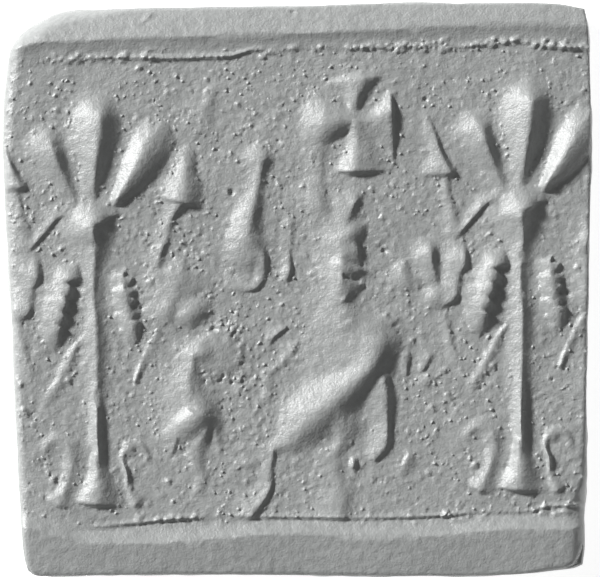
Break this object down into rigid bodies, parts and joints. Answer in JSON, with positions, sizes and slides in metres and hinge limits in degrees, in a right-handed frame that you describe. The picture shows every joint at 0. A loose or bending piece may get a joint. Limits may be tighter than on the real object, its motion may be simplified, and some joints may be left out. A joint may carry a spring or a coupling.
{
  "type": "cylinder seal impression",
  "caption": "Square slab of grey modelling clay with a cylinder seal rolled across it: palm, cross and long necked beast in low relief between smooth margins.",
  "frame": {"origin": "middle of the flat underside, the bottom centre of the bounding box", "axes": "+Z out of the relief, up as the slab lies on its back; +X along the rolling, the slab's longest side; +Y up the height of the seal's picture"},
  "size_m": [0.0402, 0.039, 0.007],
  "materials": {
    "modelling_clay": "smooth mid-grey polymer modelling clay, matte with a faint sheen"
  },
  "bodies": {
    "root": {"impression_slab": "modelling_clay"}
  },
  "joints": []
}
